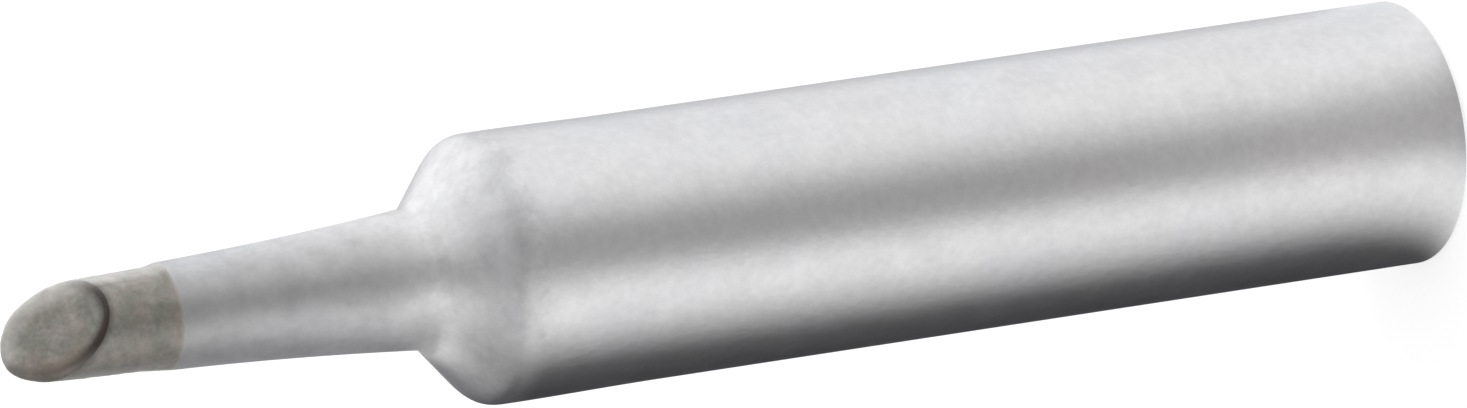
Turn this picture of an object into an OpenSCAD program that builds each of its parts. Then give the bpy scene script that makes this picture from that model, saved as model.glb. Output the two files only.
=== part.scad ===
// Bevel soldering iron tip that slips over a rod heater.
// It is one turned piece: a hollow barrel, a shoulder, a flared neck and a bevelled working end.
// The axis is Z. The back rim stands on Z = 0, the working end is up, and the bevel faces -Y.
// All sizes are in millimetres.

/* [Barrel] */
// Outside diameter of the barrel
barrel_d = 6.5; // [5.6:0.1:9]
// Length of the barrel, from the back rim to the corner of the shoulder
barrel_l = 25.65; // [14:0.05:45]
// Rounding of the back rim's outer edge
rim_round = 0.18; // [0.05:0.01:0.5]
// How far the plating thickens the barrel just behind the shoulder
swell_h = 0.04; // [0:0.01:0.2]
// Length over which that swell rises
swell_l = 4; // [0.5:0.1:8]

/* [Heater bore] */
// Diameter of the bore
bore_d = 4.2; // [3:0.1:5]
// How far behind the corner of the shoulder the straight bore stops
bore_stop = 0.85; // [0.4:0.05:6]
// Full angle of the drill point at the bottom of the bore
drill_angle = 118; // [90:1:150]
// Width of the chamfer at the bore's mouth
mouth_chamfer = 0.2; // [0.05:0.05:0.5]

/* [Shoulder] */
// Angle between the shoulder and the axis
shoulder_angle = 47.5; // [35:0.5:75]
// Radius of the rounded corner between barrel and shoulder
shoulder_round = 0.5; // [0.1:0.05:1.2]
// Radius of the hollow corner between shoulder and neck
root_round = 0.6; // [0.05:0.05:1]

/* [Neck] */
// Diameter of the neck where it leaves the shoulder
neck_root_d = 3.46; // [3:0.02:4.4]
// Length of the neck, from the shoulder to the step
neck_l = 6.65; // [4:0.05:20]
// How strongly the neck flares towards the shoulder, 0 for a plain taper
neck_flare = 0.5; // [0:0.05:0.9]

/* [Working end] */
// Diameter of the tinned end at the foot of the step
work_d = 2.42; // [1.6:0.02:2.8]
// Height of the step where the plating of the neck stops
step_h = 0.09; // [0.06:0.01:0.15]
// How high the ramp still is where the plating ends
plating_edge = 0.02; // [0.01:0.01:0.05]
// Length of the step's ramp
step_l = 0.52; // [0.1:0.01:0.9]
// Angle between the tinned end's side and the axis
work_taper = 1.6; // [0:0.1:5]
// Length from the step to the nose
work_l = 3.95; // [3.6:0.05:12]
// Angle between the bevel and the axis
bevel_angle = 45; // [38:1:80]
// Rounding of the bevel's edge
bevel_round = 0.2; // [0.05:0.01:0.35]

/* [Hidden] */
$fn = 96;
plated_colour = [0.78, 0.78, 0.79];
tinned_colour = [0.55, 0.54, 0.50];
// Steps that the swell and the neck's curve are drawn in
curve_steps = 12;
// Places round the bevel's edge, and the facets of the ball at each
edge_places = 72;
edge_facets = 32;
// What a cut runs past a face, and a joined solid into its neighbour
overlap = 0.1;

barrel_r = barrel_d / 2;
bore_r = bore_d / 2;
bore_l = barrel_l - bore_stop;
drill_l = bore_r / tan(drill_angle / 2);
front_r = barrel_r + swell_h;
neck_root_r = neck_root_d / 2;
work_r = work_d / 2;
neck_end_r = work_r + step_h;

shoulder_l = (front_r - neck_root_r) / tan(shoulder_angle);
swell_z = barrel_l - shoulder_round - swell_l;
root_z = barrel_l + shoulder_l;
step_z = root_z + neck_l;
ramp_z = step_z + step_l;
nose_z = step_z + work_l;

// Corners of the outline, as radius and height
rim = [barrel_r, 0];
front = [front_r, barrel_l];
root = [neck_root_r, root_z];

// Direction from one point to another
function toward(p, q) = (q - p) / norm(q - p);

// Half the angle between the edges that meet at corner b
function half_angle(a, b, c) = acos(toward(b, a) * toward(b, c)) / 2;

// The two ends of an arc of radius r in corner b
function arc_ends(a, b, c, r) = [for (p = [a, c]) b + toward(b, p) * r / tan(half_angle(a, b, c))];

// The centre of that arc
function arc_centre(a, b, c, r) =
    b + toward([0, 0], toward(b, a) + toward(b, c)) * r / sin(half_angle(a, b, c));

// The barrel's side rises to the swell in half a wave
function swell_point(t) = [barrel_r + swell_h * (1 - cos(180 * t)) / 2, swell_z + swell_l * t];
swell_curve = [for (i = [0:curve_steps]) swell_point(i / curve_steps)];

// The neck narrows along a parabola
function neck_point(t) =
    [neck_end_r + (neck_root_r - neck_end_r) * (1 - t) * (1 - neck_flare * t), root_z + neck_l * t];
neck_curve = [for (i = [1:curve_steps]) neck_point(i / curve_steps)];

// Radius of the tinned end at a height
function side_r(z) = work_r - (z - ramp_z) * tan(work_taper);

// The bevel's edge is a ball rolled round the end. Its centres lie on a slanted plane and on a
// cone that is smaller than the tinned end by the ball's radius. The highest is at the nose, +Y.
function ball_r(z) = side_r(z) - bevel_round;
bevel_run = 1 / tan(bevel_angle);
plane_z = nose_z - bevel_round - bevel_run * ball_r(nose_z - bevel_round);
function ball_z(a) =
    (plane_z + bevel_run * cos(a) * ball_r(0)) / (1 + bevel_run * cos(a) * tan(work_taper));
function ball_centre(a) = let (z = ball_z(a), r = ball_r(z)) [r * sin(a), r * cos(a), z];

// Half outline of the plated part, up to the foot of the step's ramp
module plated_outline() {
    difference() {
        union() {
            polygon(concat(
                [[0, 0]],
                arc_ends([0, 0], rim, swell_curve[0], rim_round),
                swell_curve,
                arc_ends(swell_curve[curve_steps], front, root, shoulder_round),
                arc_ends(front, root, neck_curve[0], root_round),
                neck_curve,
                [[work_r + plating_edge, ramp_z], [0, ramp_z]]
            ));
            translate(arc_centre([0, 0], rim, swell_curve[0], rim_round))
                circle(r = rim_round);
            translate(arc_centre(swell_curve[curve_steps], front, root, shoulder_round))
                circle(r = shoulder_round);
        }
        translate(arc_centre(front, root, neck_curve[0], root_round))
            circle(r = root_round);
    }
}

// The tinned end, cut off on a slant and rounded all round the cut
module bevelled_end() {
    base_z = ramp_z - overlap;
    hull() {
        translate([0, 0, base_z])
            cylinder(h = overlap, r1 = side_r(base_z), r2 = side_r(ramp_z));
        for (i = [0:edge_places - 1])
            translate(ball_centre(360 * i / edge_places))
                sphere(r = bevel_round, $fn = edge_facets);
    }
}

// Blind bore for the heater, with a chamfered mouth and a drill point
module heater_bore() {
    mouth_r = bore_r + mouth_chamfer;
    rotate_extrude()
        polygon([
            [0, -overlap],
            [mouth_r + overlap, -overlap],
            [bore_r, mouth_chamfer],
            [bore_r, bore_l],
            [0, bore_l + drill_l]
        ]);
}

module soldering_tip() {
    difference() {
        union() {
            color(plated_colour) rotate_extrude() plated_outline();
            color(tinned_colour) bevelled_end();
        }
        color(plated_colour) heater_bore();
    }
}

soldering_tip();
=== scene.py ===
# %% [markdown]
# # A soldering iron tip, from its outline to its worn finish
# The real part is one turned piece. It has a hollow plated barrel that slips over the iron's
# heater, a sloping shoulder, a flared neck, and a solid end that is cut to a bevel and tinned.
# The imported CAD model is loaded first. It fixes the place and the size, and this lesson only
# gives that piece its final surface. The model's box is kept.

# %% Load the frame
import math
import bpy
from mathutils import Matrix, Vector, noise


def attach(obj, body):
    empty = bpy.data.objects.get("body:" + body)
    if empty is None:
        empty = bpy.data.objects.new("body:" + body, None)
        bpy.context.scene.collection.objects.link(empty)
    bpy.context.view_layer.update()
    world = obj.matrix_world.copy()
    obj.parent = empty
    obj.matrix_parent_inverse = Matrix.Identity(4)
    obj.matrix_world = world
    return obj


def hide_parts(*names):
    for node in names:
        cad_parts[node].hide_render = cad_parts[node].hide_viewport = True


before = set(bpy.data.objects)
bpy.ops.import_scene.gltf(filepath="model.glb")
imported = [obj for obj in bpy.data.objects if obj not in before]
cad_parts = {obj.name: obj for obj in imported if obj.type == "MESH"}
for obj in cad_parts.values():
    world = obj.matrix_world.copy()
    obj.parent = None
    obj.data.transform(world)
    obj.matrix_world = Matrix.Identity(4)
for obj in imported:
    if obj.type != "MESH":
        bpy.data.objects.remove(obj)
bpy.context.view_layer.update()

# %% [markdown]
# ## The sizes
# A piece that stands for a CAD solid has to repeat its sizes. They are written here once, in
# millimetres, as on a workshop drawing. Everything after this cell is worked out from them, so
# a change of one size carries through the whole piece.

# %% Sizes in millimetres and degrees
barrel_r, barrel_l = 3.25, 25.65
rim_round = 0.18
swell_h, swell_l = 0.04, 4.0
bore_r, bore_stop, drill_angle = 2.1, 0.85, 118
mouth_chamfer = 0.2
shoulder_angle, shoulder_round, root_round = 47.5, 0.5, 0.6
neck_root_r, neck_l, neck_flare = 1.73, 6.65, 0.5
work_r, work_l, work_taper = 1.21, 3.95, 1.6
step_h, step_l = 0.09, 0.52
bevel_angle, bevel_round = 45, 0.2


def tan(degrees):
    return math.tan(math.radians(degrees))


front_r = barrel_r + swell_h
swell_z = barrel_l - shoulder_round - swell_l
bore_l = barrel_l - bore_stop
drill_l = bore_r / tan(drill_angle / 2)
root_z = barrel_l + (front_r - neck_root_r) / tan(shoulder_angle)
step_z = root_z + neck_l
ramp_z = step_z + step_l
nose_z = step_z + work_l
neck_end_r = work_r + step_h
print(f"shoulder ends at {root_z:.2f} mm, neck at {step_z:.2f} mm, nose at {nose_z:.2f} mm")

# %% [markdown]
# ## Rounded corners on an outline
# A lathe tool leaves small arcs where two straight cuts meet. An arc could be added later with a
# bevel modifier, but that rounds every edge alike. Here each arc is worked out on the outline,
# with its own radius, and broken into short chords. A corner under thick plating has no clear
# start or end. It turns slowly, then faster, then slowly again, so it gets a smoother curve.

# %% A rounded corner
def rounded(before, corner, after, radius, steps):
    """Points along the arc that rounds the corner between two straight lines."""
    back = (before - corner).normalized()
    on = (after - corner).normalized()
    half = back.angle(on) / 2
    centre = corner + (back + on).normalized() * radius / math.sin(half)
    first = (corner + back * radius / math.tan(half) - centre).normalized()
    last = (corner + on * radius / math.tan(half) - centre).normalized()
    return [centre + first.slerp(last, i / steps) * radius for i in range(steps + 1)]


def softened(before, corner, after, reach, steps):
    """Points along a corner that turns slowly at first, as thick plating leaves it."""
    back = (before - corner).normalized() * reach
    on = (after - corner).normalized() * reach
    pull = [corner + back, corner + back / 3, corner, corner + on / 3, corner + on]
    return [sum((pull[k] * math.comb(4, k) * (1 - t) ** (4 - k) * t ** k for k in range(5)),
                Vector((0, 0))) for t in (i / steps for i in range(steps + 1))]


def spaced(start, end, steps):
    """Points from start to just before end, on a straight line."""
    return [start.lerp(end, i / steps) for i in range(steps)]


print("a 90 degree corner:", [tuple(round(c, 2) for c in p) for p in
      rounded(Vector((0, 0)), Vector((1, 0)), Vector((1, 1)), 0.5, 2)])

# %% [markdown]
# ## The outline of the turned part
# The outline is half of a cut through the piece, as radius and height. It starts at the bottom
# of the drilled bore, runs out through the mouth, round the rim, and along the outside to the
# step where the plating ends. One line for the inside and the outside gives one closed skin.

# %% Bore, rim and barrel
drill_point = Vector((0, bore_l + drill_l))
bore_end = Vector((bore_r, bore_l))
bore_start = Vector((bore_r, mouth_chamfer))
mouth = Vector((bore_r + mouth_chamfer, 0))
rim = Vector((barrel_r, 0))
swell_start = Vector((barrel_r, swell_z))

bore_line = spaced(drill_point, bore_end, 10)[1:] + spaced(bore_end, bore_start, 60)
bore_line += spaced(bore_start, mouth, 3)
rim_arc = rounded(mouth, rim, swell_start, rim_round, 8)
barrel_line = spaced(mouth, rim_arc[0], 5) + rim_arc[:-1]
barrel_line += spaced(rim_arc[-1], swell_start, 80)
print(f"bore {len(bore_line)} points, rim and barrel {len(barrel_line)}")

# %% [markdown]
# The plating is thickest on outside corners, because the current of the bath crowds there. On
# the real piece the barrel swells by a few hundredths just behind the shoulder. Half a cosine
# wave makes the rise without a visible line at either end. The shoulder's own corner is the one
# that gets the slow, soft curve, and its reach along each side is given.

# %% Swell, shoulder, neck and step
def swell_point(t):
    return Vector((barrel_r + swell_h * (1 - math.cos(math.pi * t)) / 2, swell_z + swell_l * t))


def neck_point(t):
    flare = (neck_root_r - neck_end_r) * (1 - t) * (1 - neck_flare * t)
    return Vector((neck_end_r + flare, root_z + neck_l * t))


soft_reach = 0.52
front = Vector((front_r, barrel_l))
root = Vector((neck_root_r, root_z))
shoulder_arc = softened(swell_point(0.85), front, root, soft_reach, 24)
root_arc = rounded(front, root, neck_point(1 / 12), root_round, 10)
swell_line = [swell_point(i / 20) for i in range(20)]
swell_line = [p for p in swell_line if p.y < shoulder_arc[0].y - 0.05]
shoulder_line = shoulder_arc[:-1] + spaced(shoulder_arc[-1], root_arc[0], 12) + root_arc
neck_line = [p for p in (neck_point(i / 40) for i in range(1, 41)) if p.y > root_arc[-1].y]
print(f"swell {len(swell_line)} points, shoulder {len(shoulder_line)}, neck {len(neck_line)}")

# %% [markdown]
# ## Rings
# The outline is turned into rings of points. Every ring has the same number of points, so that
# neighbouring rings can be joined with four-sided faces. The angle starts at the nose, +Y.

# %% Turn the outline
round_points = 192
angles = [2 * math.pi * i / round_points for i in range(round_points)]


def turned(point):
    """A ring of points round the axis, from one radius and height."""
    return [Vector((point.x * math.sin(a), point.x * math.cos(a), point.y)) for a in angles]


rings = [turned(p) for p in bore_line]
bore_rings = len(rings)
rings += [turned(p) for p in barrel_line + swell_line + shoulder_line + neck_line]
plated_rings = len(rings)
print(f"{plated_rings} rings up to the step, {bore_rings} of them in the bore")

# %% [markdown]
# ## The working end
# The end is a slightly tapered pin that was filed off at 45 degrees. Its edge isn't sharp: iron
# plating and solder round it off. The surface is what a small ball would leave that rolls round
# the edge, touching the side and the flat at once. So each place on the edge has the ball's
# centre, and the ring points swing from the side's direction to the flat's direction. The ball
# grows a little on the two sides that are wiped most.

# %% The ball that rounds the bevel's edge
run = 1 / tan(bevel_angle)
slant = math.hypot(run, 1)


def eased(t):
    return t * t * (3 - 2 * t)


def between(value, stops):
    """A straight-line reading between (place, amount) stops."""
    for (x0, y0), (x1, y1) in zip(stops, stops[1:]):
        if value <= x1:
            return y0 + (y1 - y0) * max(0, value - x0) / (x1 - x0)
    return stops[-1][1]


def side_r(z):
    return work_r - (z - ramp_z) * tan(work_taper)


flat_z = nose_z - bevel_round - run * (side_r(nose_z - bevel_round) - bevel_round)
flat_z += bevel_round * slant
wiped_round = [(0, 1), (58, 0.98), (78, 1.2), (98, 1.45), (115, 1.4), (150, 1.05), (270, 0.95),
               (300, 1.3), (315, 1.4), (330, 1.15), (345, 1), (360, 1)]


def edge_round(a):
    """Radius of the ball. It is larger where wiping has rounded the edge off."""
    return bevel_round * between(math.degrees(a), wiped_round)


def ball_centre(a):
    radius = edge_round(a)
    foot_r = side_r(0) - radius
    z = (flat_z - radius * slant + run * math.cos(a) * foot_r)
    z = z / (1 + run * math.cos(a) * tan(work_taper))
    return Vector(((side_r(z) - radius) * math.sin(a), (side_r(z) - radius) * math.cos(a), z))


def side_normal(a):
    return Vector((math.sin(a), math.cos(a), tan(work_taper))).normalized()


flat_normal = Vector((0, -run, 1)).normalized()
print(f"edge from {ball_centre(math.pi).z:.2f} mm at the heel to {ball_centre(0).z:.2f} mm")

# %% Step, side, edge and flat
def step_point(t, a):
    """A point on the step's ramp, with a small wobble along it near the plating's edge."""
    wobble = 0.06 * noise.fractal(Vector((3 * math.sin(a), 3 * math.cos(a), 4.7)), 1.0, 2.0, 3)
    t = t + wobble * min(1, t / 0.15) * (1 - t)
    radius = neck_end_r - step_h * (0.3 * t + 0.7 * eased(min(1, t / 0.75)))
    return Vector((radius * math.sin(a), radius * math.cos(a), step_z + step_l * t))


step_rings = 14
for i in range(1, step_rings + 1):
    rings.append([step_point(i / step_rings, a) for a in angles])

side_steps, edge_steps, flat_steps = 40, 14, 36
foot = rings[-1]
side_end = [ball_centre(a) + side_normal(a) * edge_round(a) for a in angles]
for i in range(1, side_steps + 1):
    rings.append([p.lerp(q, i / side_steps) for p, q in zip(foot, side_end)])
side_rings = len(rings)
for i in range(1, edge_steps + 1):
    swing = [side_normal(a).slerp(flat_normal, i / edge_steps) for a in angles]
    rings.append([ball_centre(a) + s * edge_round(a) for a, s in zip(angles, swing)])
edge_rings = len(rings)
flat_edge = rings[-1]
flat_centre = sum(flat_edge, Vector()) / round_points
for i in range(1, flat_steps):
    rings.append([p.lerp(flat_centre, i / flat_steps) for p in flat_edge])
print(f"{len(rings)} rings in all, the flat is {(flat_edge[0] - flat_edge[96]).length:.2f} mm long")

# %% [markdown]
# ## Solder is never quite smooth
# The tinned end was dipped and wiped, so its skin is full of low lumps, and a little solder has
# run to one side, where it fills the step. A bump texture would only tilt the light, and the
# lumps would be gone from the exported shape. So the points are moved by a few hundredths of a
# millimetre, with a fractal noise of two sizes. On the flat they only go inwards, so that the
# nose never grows past the CAD solid.

# %% Move the tinned skin
lump_depth, run_depth, run_angle = 0.022, 0.014, math.radians(290)


def lump(p):
    """How far the skin is pressed in at a point, 0 to 1."""
    broad = noise.fractal(p * 1.6, 1.0, 2.0, 2)
    fine = noise.fractal(p * 4.5 + Vector((7, 3, 1)), 1.0, 2.0, 2)
    return min(1, max(0, 0.45 + 0.55 * broad + 0.4 * fine))


def solder_run(p, a):
    """How much solder has run to the low side, most of it at the foot of the step."""
    side = max(0, math.cos(a - run_angle)) ** 1.5
    return run_depth * side * (1 + 1.6 * math.exp(-((p.z - ramp_z + 0.15) / 0.4) ** 2))


def moved(p, normal, a, roundness):
    """A point after the lumps and the run. The roundness is 1 on the side and 0 on the flat."""
    rise = min(1, max(0, (p.z - step_z - 0.04) / 0.3))
    outward = roundness * (0.9 * lump_depth + solder_run(p, a))
    return p + normal * rise * (outward - lump_depth * lump(p))


for n in range(plated_rings, len(rings)):
    past_side = min(1, max(0, (n - side_rings + 1) / edge_steps))
    for j, a in enumerate(angles):
        normal = side_normal(a).slerp(flat_normal, past_side)
        rings[n][j] = moved(rings[n][j], normal, a, 1 - eased(past_side))
centre_point = moved(flat_centre, flat_normal, 0, 0)
print("moved", (len(rings) - plated_rings) * round_points, "points")

# %% [markdown]
# ## One closed mesh
# The rings are joined with four-sided faces, and a fan of triangles closes each end: the drill's
# point inside the bore and the middle of the flat. No edge may be left open, which the count at
# the end checks. Smooth shading is kept off the real corners by their angle. The CAD model's
# circles have 96 flat sides, which lie a few thousandths of a millimetre further in than their
# corners. The skin is drawn in by as much, so that it nowhere stands out of the model.

# %% Join the rings
MM = 0.001
inside_facets = 0.9985
points = [Vector((0, 0, drill_point.y))] + [p for ring in rings for p in ring] + [centre_point]
points = [Vector((p.x * inside_facets, p.y * inside_facets, p.z)) for p in points]
last = len(points) - 1


def ring_point(n, j):
    return 1 + n * round_points + j % round_points


faces = [(0, ring_point(0, j), ring_point(0, j + 1)) for j in range(round_points)]
for n in range(len(rings) - 1):
    for j in range(round_points):
        faces.append((ring_point(n, j), ring_point(n + 1, j),
                      ring_point(n + 1, j + 1), ring_point(n, j + 1)))
top = len(rings) - 1
faces += [(ring_point(top, j), last, ring_point(top, j + 1)) for j in range(round_points)]

mesh = bpy.data.meshes.new("tip_skin")
mesh.from_pydata([p * MM for p in points], [], faces)
mesh.shade_smooth()
mesh.set_sharp_from_angle(angle=math.radians(28))
tip = bpy.data.objects.new("tip_skin", mesh)
bpy.context.scene.collection.objects.link(tip)
edge_use = {}
for face in faces:
    for a, b in zip(face, face[1:] + face[:1]):
        edge_use[frozenset((a, b))] = edge_use.get(frozenset((a, b)), 0) + 1
print(len(faces), "faces, open edges:", sum(1 for u in edge_use.values() if u != 2))

# %% Put it in the CAD solid's place
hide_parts("soldering_tip")
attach(tip, "root")

# %% [markdown]
# ## Marks kept on the mesh
# Burnt flux settles in the corner between the side and the flat, as a dark line round the heel,
# and painted shade deepens that line, as shade would fall in that corner. A texture in space would
# have to know where that slanted oval runs. The mesh already knows, so the strength of the stain
# and its painted shade is written on its points, and the material reads it by name.

# %% Write the flux line and its painted shade on the points
def mark(name, first, last, along, across):
    """A named strength on the points of some rings, by angle and by ring."""
    strength = mesh.attributes.new(name, "FLOAT", "POINT")
    for n in range(first, last):
        for j, a in enumerate(angles):
            value = between(math.degrees(a), along) * between(n - side_rings, across)
            strength.data[ring_point(n, j)].value = value
    return strength


round_heel = [(0, 0), (110, 0), (135, 0.15), (148, 0.5), (163, 0.9), (180, 1), (232, 1),
              (255, 0.62), (280, 0.32), (325, 0.2), (345, 0)]
across_edge = [(-5, 0), (-1, 0.5), (1, 1), (edge_steps - 4, 1), (edge_steps - 1, 0.8),
               (edge_steps, 0.6), (edge_steps + 4, 0)]
mark("flux_and_shade_line", side_rings - 6, edge_rings + 4, round_heel, across_edge)
print("flux line on rings", side_rings - 6, "to", edge_rings + 3)

# %% [markdown]
# Where the flux line ends on the low side, the solder beside it is scorched brown, and painted
# shade darkens the patch further on that low side. That patch lies on the flat, so its strength
# falls off over the rings that run in to the flat's middle.

# %% Write the scorched patch and its painted shade on the points
low_side = [(0, 0), (215, 0), (245, 0.9), (275, 1), (310, 0.5), (340, 0)]
in_from_edge = [(2, 0), (edge_steps - 3, 1), (edge_steps + 3, 0.8), (edge_steps + 13, 0)]
mark("scorch_and_shade", side_rings + 2, edge_rings + 13, low_side, in_from_edge)
print("scorched patch reaches", round(13 / flat_steps, 2), "of the way to the middle")

# %% [markdown]
# The opposite side of the edge, towards the nose, gets a painted highlight: there the solder is
# painted lighter, as if it caught the light. The same kind of mark is written there. It fades out
# over the flat, and on the round side it runs back to the step.

# %% Write the painted highlight on the points
round_nose = [(0, 0.9), (20, 1), (100, 1), (128, 0.6), (150, 0.2), (165, 0), (335, 0), (360, 0.9)]
across_rim = [(0, 0.75), (2, 1), (edge_steps, 1), (edge_steps + 14, 0)]
highlighted = mark("painted_highlight", side_rings, edge_rings + 14, round_nose, across_rim)
round_side = [(0, 0.3), (20, 0.6), (60, 1), (145, 1), (155, 0), (335, 0), (360, 0.3)]
for n in range(plated_rings, side_rings):
    for j, a in enumerate(angles):
        highlighted.data[ring_point(n, j)].value = 0.75 * between(math.degrees(a), round_side)
print("wiped side reaches", round(14 / flat_steps, 2), "of the way to the middle of the flat")

# %% [markdown]
# The plating stops a little way down the step, and its edge catches the light as a thin line, which is
# painted in as a lighter colour: a painted highlight.
# That ring of points gets a mark of its own. The line can then follow the plating's uneven edge.

# %% Write the plating's edge on the points
plating_end = plated_rings + 1
thin_line = mesh.attributes.new("plating_edge", "FLOAT", "POINT")
for n, strength in ((plating_end, 1), (plating_end + 1, 0.5), (plating_end + 2, 0.2)):
    for j in range(round_points):
        thin_line.data[ring_point(n, j)].value = strength
print("the plating ends at ring", plating_end)

# %% [markdown]
# The hollow corner at the neck's root is painted light, and on the real part that corner is
# lightest on the low side. The metal is dulled there, so that the corner stays light where bare
# metal would mirror something dark: painted light that stands for white paper lighting the hollow.

# %% Write the painted root light on the points
low_corner = [(0, 0), (222, 0), (250, 1), (310, 1), (340, 0)]
up_the_root = [(26.6, 0), (26.95, 1), (27.4, 1), (28.2, 0)]
root_light = mesh.attributes.new("root_painted_light", "FLOAT", "POINT")
for n in range(bore_rings, plated_rings):
    thickness = between(rings[n][0].z, up_the_root)
    for j, a in enumerate(angles):
        root_light.data[ring_point(n, j)].value = thickness * between(math.degrees(a), low_corner)
print("fog from", up_the_root[0][0], "to", up_the_root[-1][0], "mm")

# %% [markdown]
# ## Helpers for node materials
# A material is a small graph. Two helpers keep it readable: one adds a node and sets its inputs
# by name, the other adds a node that mixes or scales numbers.

# %% Node helpers
def new_material(name):
    material = bpy.data.materials.new(name)
    material.use_nodes = True
    return material, material.node_tree, material.node_tree.nodes["Principled BSDF"]


def add(tree, kind, inputs=None, **settings):
    """A node of a kind. Inputs take a number, a colour, or another node's output."""
    node = tree.nodes.new("ShaderNode" + kind)
    for name, value in settings.items():
        setattr(node, name, value)
    for name, value in (inputs or {}).items():
        if isinstance(value, bpy.types.NodeSocket):
            tree.links.new(value, node.inputs[name])
        else:
            node.inputs[name].default_value = value
    return node


def ramp(tree, value, stops, interpolation="LINEAR"):
    """A colour ramp. The stops are (position, grey or colour)."""
    node = add(tree, "ValToRGB", {"Fac": value})
    node.color_ramp.interpolation = interpolation
    while len(node.color_ramp.elements) < len(stops):
        node.color_ramp.elements.new(1)
    for element, (position, colour) in zip(node.color_ramp.elements, stops):
        element.position = position
        rgb = colour if isinstance(colour, tuple) else (colour, colour, colour)
        element.color = (*rgb, 1)
    return node.outputs["Color"]


def mapped(tree, value, low, high, new_low, new_high):
    node = add(tree, "MapRange", {"Value": value, "From Min": low, "From Max": high,
                                  "To Min": new_low, "To Max": new_high})
    return node.outputs["Result"]


def mixed(tree, share, a, b, kind="MIX"):
    """Two colours mixed by a share."""
    node = add(tree, "Mix", data_type="RGBA", blend_type=kind)
    for socket, value in ((node.inputs[0], share), (node.inputs[6], a), (node.inputs[7], b)):
        if isinstance(value, bpy.types.NodeSocket):
            tree.links.new(value, socket)
        else:
            socket.default_value = value
    return node.outputs[2]


# %% [markdown]
# ## Satin plating
# The barrel and the neck have a bright plating that was tumbled, so it is metal with a soft
# gloss. What makes it look real is that the gloss isn't even: cloudy patches, faint rings from
# the lathe under the plating, and a tint that drifts between warm and cool. Heat and flux smoke
# have darkened it from the shoulder's corner on, and the sleeve that holds the tip has left two
# broken rings and a rubbed, rougher corner. That corner is also a touch darker in colour: painted
# shade that tones down the light line its curve mirrors. The object's own coordinates carry all
# of it, so that the pattern stays on the piece from every side.

# %% Satin plating
plating, tree, shader = new_material("satin_plating")
place = add(tree, "TexCoord").outputs["Object"]
clouds = add(tree, "TexNoise", {"Vector": place, "Scale": 900, "Detail": 4, "Roughness": 0.65})
grain = add(tree, "TexNoise", {"Vector": place, "Scale": 4200, "Detail": 3, "Roughness": 0.6})
stretched = add(tree, "Mapping", {"Vector": place, "Scale": (160, 160, 5200)})
lathe = add(tree, "TexNoise", {"Vector": stretched.outputs["Vector"], "Scale": 1, "Detail": 3})
tone = ramp(tree, clouds.outputs["Fac"], [(0.3, (0.765, 0.765, 0.77)), (0.7, (0.82, 0.82, 0.82))])
lines = ramp(tree, lathe.outputs["Fac"], [(0.3, 0.985), (0.7, 1.0)])
colour = mixed(tree, 1.0, tone, lines, "MULTIPLY")
specks = ramp(tree, grain.outputs["Fac"], [(0.3, 0.95), (0.7, 1.03)])
colour = mixed(tree, 1.0, colour, specks, "MULTIPLY")
drift = add(tree, "TexNoise", {"Vector": place, "Scale": 260, "Detail": 2, "Roughness": 0.5})
tint = ramp(tree, drift.outputs["Fac"], [(0.38, (1.0, 0.993, 0.988)), (0.62, (0.991, 0.993, 1.0))])
colour = mixed(tree, 1.0, colour, tint, "MULTIPLY")
height = add(tree, "SeparateXYZ", {"Vector": place}).outputs["Z"]
along = mapped(tree, height, 0, step_z * MM, 0, 1)
worn = ramp(tree, along, [(27.2 / step_z, 1.0), (28.6 / step_z, 0.9), (1.0, 0.77)])
colour = mixed(tree, 1.0, colour, worn, "MULTIPLY")
smoke = add(tree, "TexNoise", {"Vector": place, "Scale": 1600, "Detail": 4, "Roughness": 0.6})
smoky = ramp(tree, smoke.outputs["Fac"], [(0.36, 0.91), (0.56, 1.0)])
from_corner = ramp(tree, along, [(24.6 / step_z, 0.15), (25.4 / step_z, 1.0), (1.0, 0.7)])
colour = mixed(tree, from_corner, colour, mixed(tree, 1.0, colour, smoky, "MULTIPLY"))
ring_marks = ramp(tree, along, [(25.06 / step_z, 0.0), (25.14 / step_z, 1.0), (25.18 / step_z, 0.1),
                                (25.26 / step_z, 0.8), (25.34 / step_z, 0.0)])
broken = ramp(tree, smoke.outputs["Fac"], [(0.42, 0.3), (0.54, 0.0)])
ring_marks = add(tree, "Math", {0: ring_marks, 1: broken}, operation="MULTIPLY").outputs[0]
colour = mixed(tree, ring_marks, colour, (0.42, 0.41, 0.40, 1))
# Painted shade: the shoulder's corner is painted a touch darker, to tone down the light line it mirrors.
corner = ramp(tree, along, [(25.3 / step_z, 1.0), (25.5 / step_z, 0.94), (25.75 / step_z, 0.94),
                            (26.0 / step_z, 1.0)])
colour = mixed(tree, 1.0, colour, corner, "MULTIPLY")
tree.links.new(colour, shader.inputs["Base Color"])
gloss = mapped(tree, clouds.outputs["Fac"], 0.3, 0.7, 0.36, 0.28)
dull = mapped(tree, height, 27.2 * MM, 28.6 * MM, 0, 0.18)
gloss = add(tree, "Math", {0: gloss, 1: dull}, operation="ADD").outputs[0]
rubbed = ramp(tree, along, [(24.9 / step_z, 0.0), (25.4 / step_z, 0.12), (26.1 / step_z, 0.12),
                            (26.8 / step_z, 0.0)])
gloss = add(tree, "Math", {0: gloss, 1: rubbed}, operation="ADD").outputs[0]
tree.links.new(gloss, shader.inputs["Roughness"])
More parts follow.
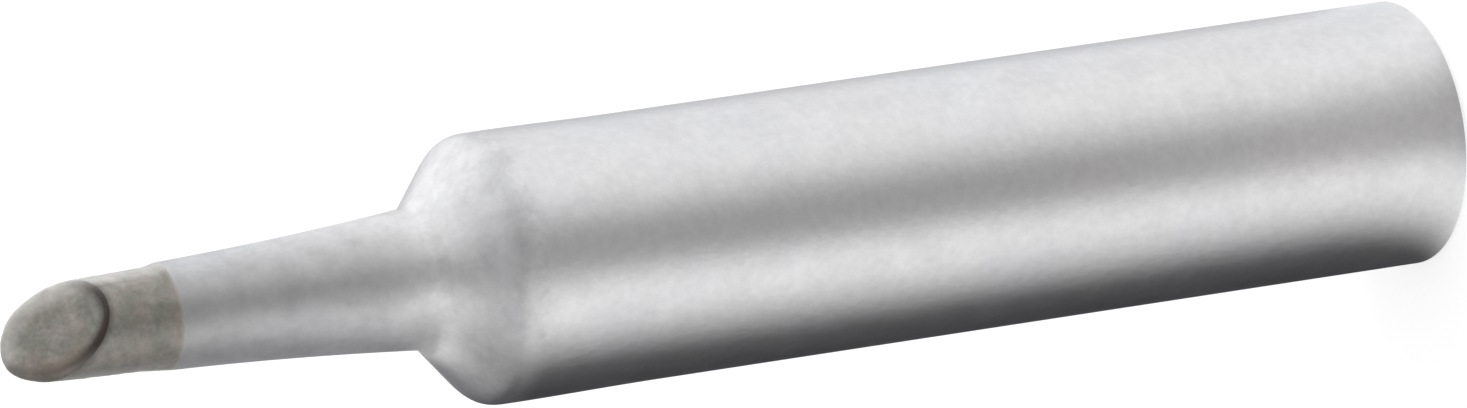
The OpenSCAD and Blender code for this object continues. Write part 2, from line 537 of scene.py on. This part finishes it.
# Painted light at the neck's root: the metal is dulled all round there, and more on the low side by the
# mark on the points, so the hollow corner stays light.
rise = mapped(tree, height, 26.2 * MM, 27.0 * MM, 0, 1)
fade = mapped(tree, height, 27.4 * MM, 28.6 * MM, 1, 0)
root_light_share = add(tree, "Math", {0: rise, 1: fade}, operation="MULTIPLY").outputs[0]
metal = mapped(tree, root_light_share, 0, 1, 1.0, 0.8)
root_light = mapped(tree, add(tree, "Attribute", attribute_name="root_painted_light").outputs["Fac"], 0, 1, 0, 0.42)
metal = add(tree, "Math", {0: metal, 1: root_light}, operation="SUBTRACT").outputs[0]
tree.links.new(metal, shader.inputs["Metallic"])
dents = add(tree, "Bump", {"Height": lathe.outputs["Fac"], "Strength": 0.1, "Distance": 0.00001})
peel = add(tree, "Bump", {"Height": grain.outputs["Fac"], "Strength": 0.6, "Distance": 0.00001,
                          "Normal": dents.outputs["Normal"]})
tree.links.new(peel.outputs["Normal"], shader.inputs["Normal"])
print("satin plating:", len(tree.nodes), "nodes")

# %% [markdown]
# ## Tinned end
# Old solder is dull and warm grey, mottled with greenish and brownish oxide. It still has a
# little metal in it, which shows as a light line where the skin turns away from the eye. Metal
# and plain colour are mixed by the shader's own Metallic value.

# %% Tinned end
tinned, tree, shader = new_material("old_solder")
place = add(tree, "TexCoord").outputs["Object"]
patches = add(tree, "TexNoise", {"Vector": place, "Scale": 1700, "Detail": 5, "Roughness": 0.62})
grains = add(tree, "TexNoise", {"Vector": place, "Scale": 9000, "Detail": 3, "Roughness": 0.6})
oxide = add(tree, "TexNoise", {"Vector": place, "Scale": 1700, "Detail": 2, "Distortion": 0.5})
tone = ramp(tree, oxide.outputs["Fac"], [(0.38, (0.325, 0.32, 0.268)), (0.5, (0.345, 0.322, 0.28)),
                                         (0.62, (0.37, 0.325, 0.287))])
shade = ramp(tree, patches.outputs["Fac"], [(0.3, 0.74), (0.7, 1.24)])
colour = mixed(tree, 1.0, tone, shade, "MULTIPLY")
speckle = ramp(tree, grains.outputs["Fac"], [(0.3, 0.88), (0.7, 1.05)])
colour = mixed(tree, 1.0, colour, speckle, "MULTIPLY")
# Painted highlight: the nose's side of the edge and the round side above it are painted lighter.
highlight_share = add(tree, "Attribute", attribute_name="painted_highlight").outputs["Fac"]
highlight_share = add(tree, "Math", {0: highlight_share, 1: mapped(tree, patches.outputs["Fac"], 0.35, 0.65, 0.6, 1)},
            operation="MULTIPLY").outputs[0]
colour = mixed(tree, highlight_share, colour, (0.70, 0.68, 0.63, 1))
# A brown scorch on the low side of the flat, darkened further with painted shade there.
scorch_and_shade_share = add(tree, "Attribute", attribute_name="scorch_and_shade").outputs["Fac"]
scorch_and_shade_share = add(tree, "Math", {0: scorch_and_shade_share, 1: mapped(tree, patches.outputs["Fac"], 0.35, 0.65, 0.75, 0.35)},
             operation="MULTIPLY").outputs[0]
colour = mixed(tree, scorch_and_shade_share, colour, (0.31, 0.215, 0.15, 1))
# The dark line round the edge: burnt flux, deepened with painted shade in that corner.
flux_and_shade = add(tree, "Attribute", attribute_name="flux_and_shade_line").outputs["Fac"]
colour = mixed(tree, flux_and_shade, colour, (0.07, 0.054, 0.045, 1))
# Painted highlight: a thin lighter line on the ring where the plating ends.
edge_line = add(tree, "Attribute", attribute_name="plating_edge").outputs["Fac"]
edge_line = mapped(tree, edge_line, 0, 1, 0, 0.8)
colour = mixed(tree, edge_line, colour, (0.56, 0.55, 0.52, 1))
tree.links.new(colour, shader.inputs["Base Color"])
tree.links.new(mapped(tree, flux_and_shade, 0, 1, 1.0, 0.3), shader.inputs["Coat Weight"])
shader.inputs["Metallic"].default_value = 0.8
shader.inputs["Roughness"].default_value = 0.6
shader.inputs["Coat Roughness"].default_value = 0.2
shader.inputs["Coat IOR"].default_value = 1.75
grain_bump = add(tree, "Bump", {"Height": grains.outputs["Fac"], "Strength": 0.4,
                                "Distance": 0.00002})
tree.links.new(grain_bump.outputs["Normal"], shader.inputs["Normal"])
print("old solder:", len(tree.nodes), "nodes")

# %% [markdown]
# ## Inside the bore
# The plating hardly reaches the bottom of a deep bore, and the heater's warmth dulls it. The
# bore gets a darker, rougher metal, with the drill's rings in it.

# %% Bore
bore_metal, tree, shader = new_material("dull_bore")
place = add(tree, "TexCoord").outputs["Object"]
turns = add(tree, "Mapping", {"Vector": place, "Scale": (120, 120, 4200)})
drilled = add(tree, "TexNoise", {"Vector": turns.outputs["Vector"], "Scale": 1, "Detail": 2})
colour = ramp(tree, drilled.outputs["Fac"], [(0.3, (0.38, 0.37, 0.36)), (0.7, (0.52, 0.51, 0.50))])
tree.links.new(colour, shader.inputs["Base Color"])
shader.inputs["Metallic"].default_value = 0.9
shader.inputs["Roughness"].default_value = 0.5
print("bore:", len(tree.nodes), "nodes")

# %% Give each stretch of rings its finish
for material in (plating, tinned, bore_metal):
    mesh.materials.append(material)
fan = round_points
for polygon in mesh.polygons:
    ring = (polygon.index - fan) // round_points
    polygon.material_index = 2 if ring < bore_rings - 3 else 0 if ring < plating_end else 1
print("faces in each finish:", [sum(1 for p in mesh.polygons if p.material_index == k)
                                for k in range(3)])

# %% [markdown]
# ## Floor and background
# The photograph has a white background. More light would only wash the part out, so the floor is
# white by its own colour: for camera rays it mixes a white glow with ordinary shaded white. The
# shaded share keeps the part's shadow. From below the floor is clear, so the bore can be seen.

# %% Floor
floor_mesh = bpy.data.meshes.new("floor")
far = 1.5
floor_mesh.from_pydata([(-far, -far, 0), (far, -far, 0), (far, far, 0), (-far, far, 0)], [],
                       [(0, 1, 2, 3)])
floor = bpy.data.objects.new("floor", floor_mesh)
floor.location.z = -0.00002
bpy.context.scene.collection.objects.link(floor)
paper = bpy.data.materials.new("white_paper")
paper.use_nodes = True
tree = paper.node_tree
tree.nodes.clear()
rays = add(tree, "LightPath").outputs
seen = add(tree, "Math", {0: rays["Is Camera Ray"], 1: rays["Is Glossy Ray"]}, operation="ADD")
seen = add(tree, "Math", {0: seen.outputs[0], 1: rays["Is Transmission Ray"]}, operation="ADD")
shaded = add(tree, "BsdfDiffuse", {"Color": (0.8, 0.8, 0.8, 1)})
glow = add(tree, "Emission", {"Color": (1, 1, 1, 1), "Strength": 0.6})
half = add(tree, "BsdfDiffuse", {"Color": (0.55, 0.55, 0.55, 1)})
bright = add(tree, "AddShader", {0: glow.outputs[0], 1: half.outputs[0]})
front_side = add(tree, "MixShader", {0: seen.outputs[0], 1: shaded.outputs[0],
                                     2: bright.outputs[0]})
back = add(tree, "NewGeometry").outputs["Backfacing"]
clear = add(tree, "BsdfTransparent")
both = add(tree, "MixShader", {0: back, 1: front_side.outputs[0], 2: clear.outputs[0]})
output = add(tree, "OutputMaterial", {"Surface": both.outputs[0]})
paper.cycles.emission_sampling = "NONE"
floor_mesh.materials.append(paper)
print("floor", 2 * far, "m wide")

# %% World
world = bpy.data.worlds.new("studio")
bpy.context.scene.world = world
world.use_nodes = True
tree = world.node_tree
tree.nodes.clear()
rays = add(tree, "LightPath").outputs
seen = add(tree, "Math", {0: rays["Is Camera Ray"], 1: rays["Is Glossy Ray"]}, operation="ADD")
seen = add(tree, "Math", {0: seen.outputs[0], 1: rays["Is Transmission Ray"]}, operation="ADD")
level = mapped(tree, seen.outputs[0], 0, 1, 0.85, 1.0)
sky = add(tree, "Background", {"Color": (1, 1, 1, 1), "Strength": level})
add(tree, "OutputWorld", {"Surface": sky.outputs[0]})
world.cycles.sampling_method = "NONE"
print("world set")

# %% [markdown]
# ## A light tent for the metal
# Polished metal has no colour of its own. It shows what stands round it, so photographers put
# small parts in a tent of white paper and hang dark cards in it. The bands on the real part come
# from that: a wide light above, a narrow dark gap in front, and a dark edge below. The tent is a
# closed can round the part that only glossy rays see. Its bands run round the can, as angles from
# the camera's side and greys. They change with height, because each stretch of the part looks at
# a height of its own: the barrel looks a little below itself, the shoulder far up the wall.

# %% Build the tent
tent_r, tent_h, tent_points = 9 * MM, 60 * MM, 96
tent_mesh = bpy.data.meshes.new("light_tent")
corners = []
for height in (0.01 * MM, tent_h):
    for i in range(tent_points):
        a = 2 * math.pi * i / tent_points
        corners.append((tent_r * math.cos(a), tent_r * math.sin(a), height))
sides = [(i, (i + 1) % tent_points, tent_points + (i + 1) % tent_points, tent_points + i)
         for i in range(tent_points)]
tent_mesh.from_pydata(corners, [], sides + [tuple(range(tent_points)),
                                            tuple(range(tent_points, 2 * tent_points))])
tent = bpy.data.objects.new("light_tent", tent_mesh)
bpy.context.scene.collection.objects.link(tent)
tent.visible_camera = tent.visible_diffuse = tent.visible_shadow = False
tent.visible_transmission = tent.visible_volume_scatter = False
print("tent", tent_r * 2000, "mm wide,", tent_h * 1000, "mm high")

# %% Paint the tent
camera_azimuth, camera_elevation, camera_roll = -27.282, 26.039, 98.422
tent.rotation_euler.z = math.radians(camera_azimuth - 90)
tent_paint = bpy.data.materials.new("tent_paint")
tent_paint.use_nodes = True
tree = tent_paint.node_tree
tree.nodes.clear()
place = add(tree, "TexCoord").outputs["Object"]
turn = add(tree, "TexGradient", {"Vector": place}, gradient_type="RADIAL").outputs["Fac"]
rim_bands = [(-180, 0.6), (-160, 0.5), (-144, 0.05), (-130, 0.045), (-92, 0.065),
             (-34, 0.98), (-29, 0.96), (-3, 0.48), (8, 0.465), (48, 0.95), (60, 1.0),
             (76, 0.98), (92, 0.93), (108, 0.97), (134, 0.66), (158, 0.28), (178, 0.6)]
barrel_bands = [(-180, 0.6), (-160, 0.5), (-144, 0.05), (-130, 0.045), (-96, 0.07),
                (-34, 1.0), (-29, 0.96), (-3, 0.38), (8, 0.36), (48, 0.92), (60, 0.99),
                (76, 0.98), (92, 0.93), (108, 0.98), (134, 0.66), (158, 0.3), (178, 0.6)]
neck_bands = [(-180, 0.4), (-122, 0.36), (-102, 0.38), (-72, 0.86), (-52, 0.93), (-8, 0.33),
              (12, 0.32), (48, 0.76), (72, 0.88), (94, 1.22), (150, 1.25), (175, 0.6)]
corner_bands = [(-180, 0.4), (-144, 0.1), (-96, 0.07), (-34, 1.0), (-29, 0.96), (-3, 0.34),
                (8, 0.32), (48, 0.84), (72, 0.98), (94, 1.15), (132, 1.28), (156, 0.75),
                (175, 0.5)]
end_bands = [(-180, 0.5), (-125, 0.42), (-92, 0.28), (-76, 0.33), (-48, 0.85), (-36, 0.88),
             (-4, 0.33), (12, 0.32), (48, 0.76), (74, 0.86), (94, 1.14), (132, 1.2),
             (156, 0.75), (175, 0.5)]
root_bands = [(-180, 0.4), (-125, 0.34), (-92, 0.37), (-62, 0.77), (-46, 0.72), (-20, 0.35),
              (20, 0.32), (56, 0.79), (76, 0.97), (94, 1.04), (150, 1.1), (175, 0.6)]
shoulder_bands = [(-180, 0.35), (-130, 0.3), (-92, 0.45), (-62, 0.8), (-40, 0.72), (-5, 0.31),
                  (8, 0.31), (42, 0.7), (66, 0.9), (90, 0.86), (150, 0.88), (175, 0.6)]
roof_bands = [(-180, 0.3), (-90, 0.35), (0, 0.4), (90, 0.5), (178, 0.3)]
heights = [(barrel_bands, 0, 9), (corner_bands, 22.5, 26), (end_bands, 27.3, 28.3), (root_bands, 31.5, 34),
           (shoulder_bands, 38, 41), (roof_bands, 46, 49)]


def paper_grey(angle, grey):
    """A grey that is a touch warmer in front and cooler at the back, with a blue shade."""
    facing = math.cos(math.radians(angle))
    cool = 0.016 * (1 - facing)
    warm = 0.018 * max(0, facing) ** 6
    return (grey * (1 - 0.3 * cool + warm), grey, grey * (1 + cool) + 0.003)


def band_ring(tree, turn, bands):
    """The bands at one height of the tent, as a ramp that runs round it."""
    stops = [(angle / 360 + 0.5, paper_grey(angle, grey)) for angle, grey in bands]
    return ramp(tree, turn, stops, "EASE")


height = add(tree, "SeparateXYZ", {"Vector": place}).outputs["Z"]
paint = band_ring(tree, turn, rim_bands)
for bands, start, end in heights:
    share = mapped(tree, height, start * MM, end * MM, 0, 1)
    paint = mixed(tree, share, paint, band_ring(tree, turn, bands))
shine = add(tree, "Emission", {"Color": paint, "Strength": 1.0})
add(tree, "OutputMaterial", {"Surface": shine.outputs[0]})
tent_paint.cycles.emission_sampling = "NONE"
tent_mesh.materials.append(tent_paint)
print("tent painted,", len(tree.nodes), "nodes")

# %% [markdown]
# ## A shelf of card round the neck
# The neck and the corner of the shoulder want different surroundings, although both look at the
# same height of the tent. A round shelf at the neck's root parts them. From above, where the neck
# looks at it, it carries bands of its own, which fade in away from the root. From below, where
# the shoulder looks, it is clear but for a glowing patch near the root. The patch stands for the
# white paper that lights that hollow corner on the real part.

# %% Hang the shelf
shelf_mesh = bpy.data.meshes.new("neck_shelf")
shelf_r = 8.95 * MM
ring = [2 * math.pi * i / tent_points for i in range(tent_points)]
shelf_mesh.from_pydata([(shelf_r * math.cos(a), shelf_r * math.sin(a), 0) for a in ring], [],
                       [tuple(reversed(range(tent_points)))])
shelf = bpy.data.objects.new("neck_shelf", shelf_mesh)
bpy.context.scene.collection.objects.link(shelf)
shelf.rotation_euler.z = tent.rotation_euler.z
shelf.location.z = 27.4 * MM
shelf.visible_camera = shelf.visible_diffuse = shelf.visible_shadow = False
shelf.visible_transmission = shelf.visible_volume_scatter = False
print("shelf at", round(shelf.location.z * 1000, 1), "mm")

# %% Paint the shelf
shelf_paint = bpy.data.materials.new("shelf_paint")
shelf_paint.use_nodes = True
tree = shelf_paint.node_tree
tree.nodes.clear()
clear = add(tree, "BsdfTransparent").outputs[0]
place = add(tree, "TexCoord").outputs["Object"]
turn = add(tree, "TexGradient", {"Vector": place}, gradient_type="RADIAL").outputs["Fac"]
bands = add(tree, "Emission", {"Color": band_ring(tree, turn, neck_bands), "Strength": 1.0})
out = add(tree, "VectorMath", {0: place}, operation="LENGTH").outputs["Value"]
fading = mapped(tree, out, 2.1 * MM, 4.6 * MM, 0, 1)
above = add(tree, "MixShader", {0: fading, 1: clear, 2: bands.outputs[0]})
patch = add(tree, "VectorMath", {0: place, 1: (-2.5 * MM, 0, 0)}, operation="SUBTRACT").outputs[0]
reach = add(tree, "VectorMath", {0: patch}, operation="LENGTH").outputs["Value"]
side = add(tree, "SeparateXYZ", {"Vector": place}).outputs["Y"]
near = mapped(tree, reach, 3.3 * MM, 5.1 * MM, 1, 0)
low_side = mapped(tree, side, -0.3 * MM, -1.4 * MM, 0, 1)
share = add(tree, "Math", {0: near, 1: low_side}, operation="MULTIPLY").outputs[0]
glow = add(tree, "Emission", {"Color": (1, 1, 1, 1), "Strength": 0.78})
below = add(tree, "MixShader", {0: share, 1: clear, 2: glow.outputs[0]})
from_above = add(tree, "NewGeometry").outputs["Backfacing"]
both = add(tree, "MixShader", {0: from_above, 1: below.outputs[0], 2: above.outputs[0]})
add(tree, "OutputMaterial", {"Surface": both.outputs[0]})
shelf_paint.cycles.emission_sampling = "NONE"
shelf_mesh.materials.append(shelf_paint)
print("shelf painted,", len(tree.nodes), "nodes")

# %% [markdown]
# ## One soft lamp
# The dull end needs a little shape. A large, weak lamp stands off to the side that is up in the
# picture. The tent makes the metal's light, so the lamp is kept out of glossy rays.

# %% Lamp
lamp_data = bpy.data.lights.new("soft_lamp", "AREA")
lamp_data.shape, lamp_data.size, lamp_data.energy = "DISK", 0.5, 1.2
lamp = bpy.data.objects.new("soft_lamp", lamp_data)
lamp.location = (0.55, -0.35, 0.25)
lamp.rotation_euler = (-lamp.location).to_track_quat("-Z", "Y").to_euler()
lamp.visible_glossy = False
bpy.context.scene.collection.objects.link(lamp)
print("lamp", round(lamp.location.length, 2), "m away")

# %% [markdown]
# ## Camera
# The photograph was taken with a long lens, which is why the bands hardly converge. The part
# stands on its rim here, as it would on a bench, and lies across the picture there. So the camera
# is turned on its side: its roll makes up the difference.

# %% Camera
camera_data = bpy.data.cameras.new("camera")
camera_data.lens, camera_data.sensor_width = 430, 36
camera = bpy.data.objects.new("camera", camera_data)
azimuth, elevation = math.radians(camera_azimuth), math.radians(camera_elevation)
toward = Vector((math.sin(azimuth) * math.cos(elevation),
                 -math.cos(azimuth) * math.cos(elevation), math.sin(elevation)))
aim, distance = Vector((0.513, -0.428, 18.498)) * MM, 422.4 * MM
turned_camera = toward.to_track_quat("Z", "Y").to_matrix() @ Matrix.Rotation(
    -math.radians(camera_roll), 3, "Z")
camera.matrix_world = (Matrix.Translation(aim + toward * distance) @ turned_camera.to_4x4())
camera_data.clip_start, camera_data.clip_end = 0.01, 10
bpy.context.scene.collection.objects.link(camera)
bpy.context.scene.camera = camera
print("camera at", [round(c * 1000, 1) for c in camera.location], "mm")

bpy.context.scene.view_settings.view_transform = "Standard"
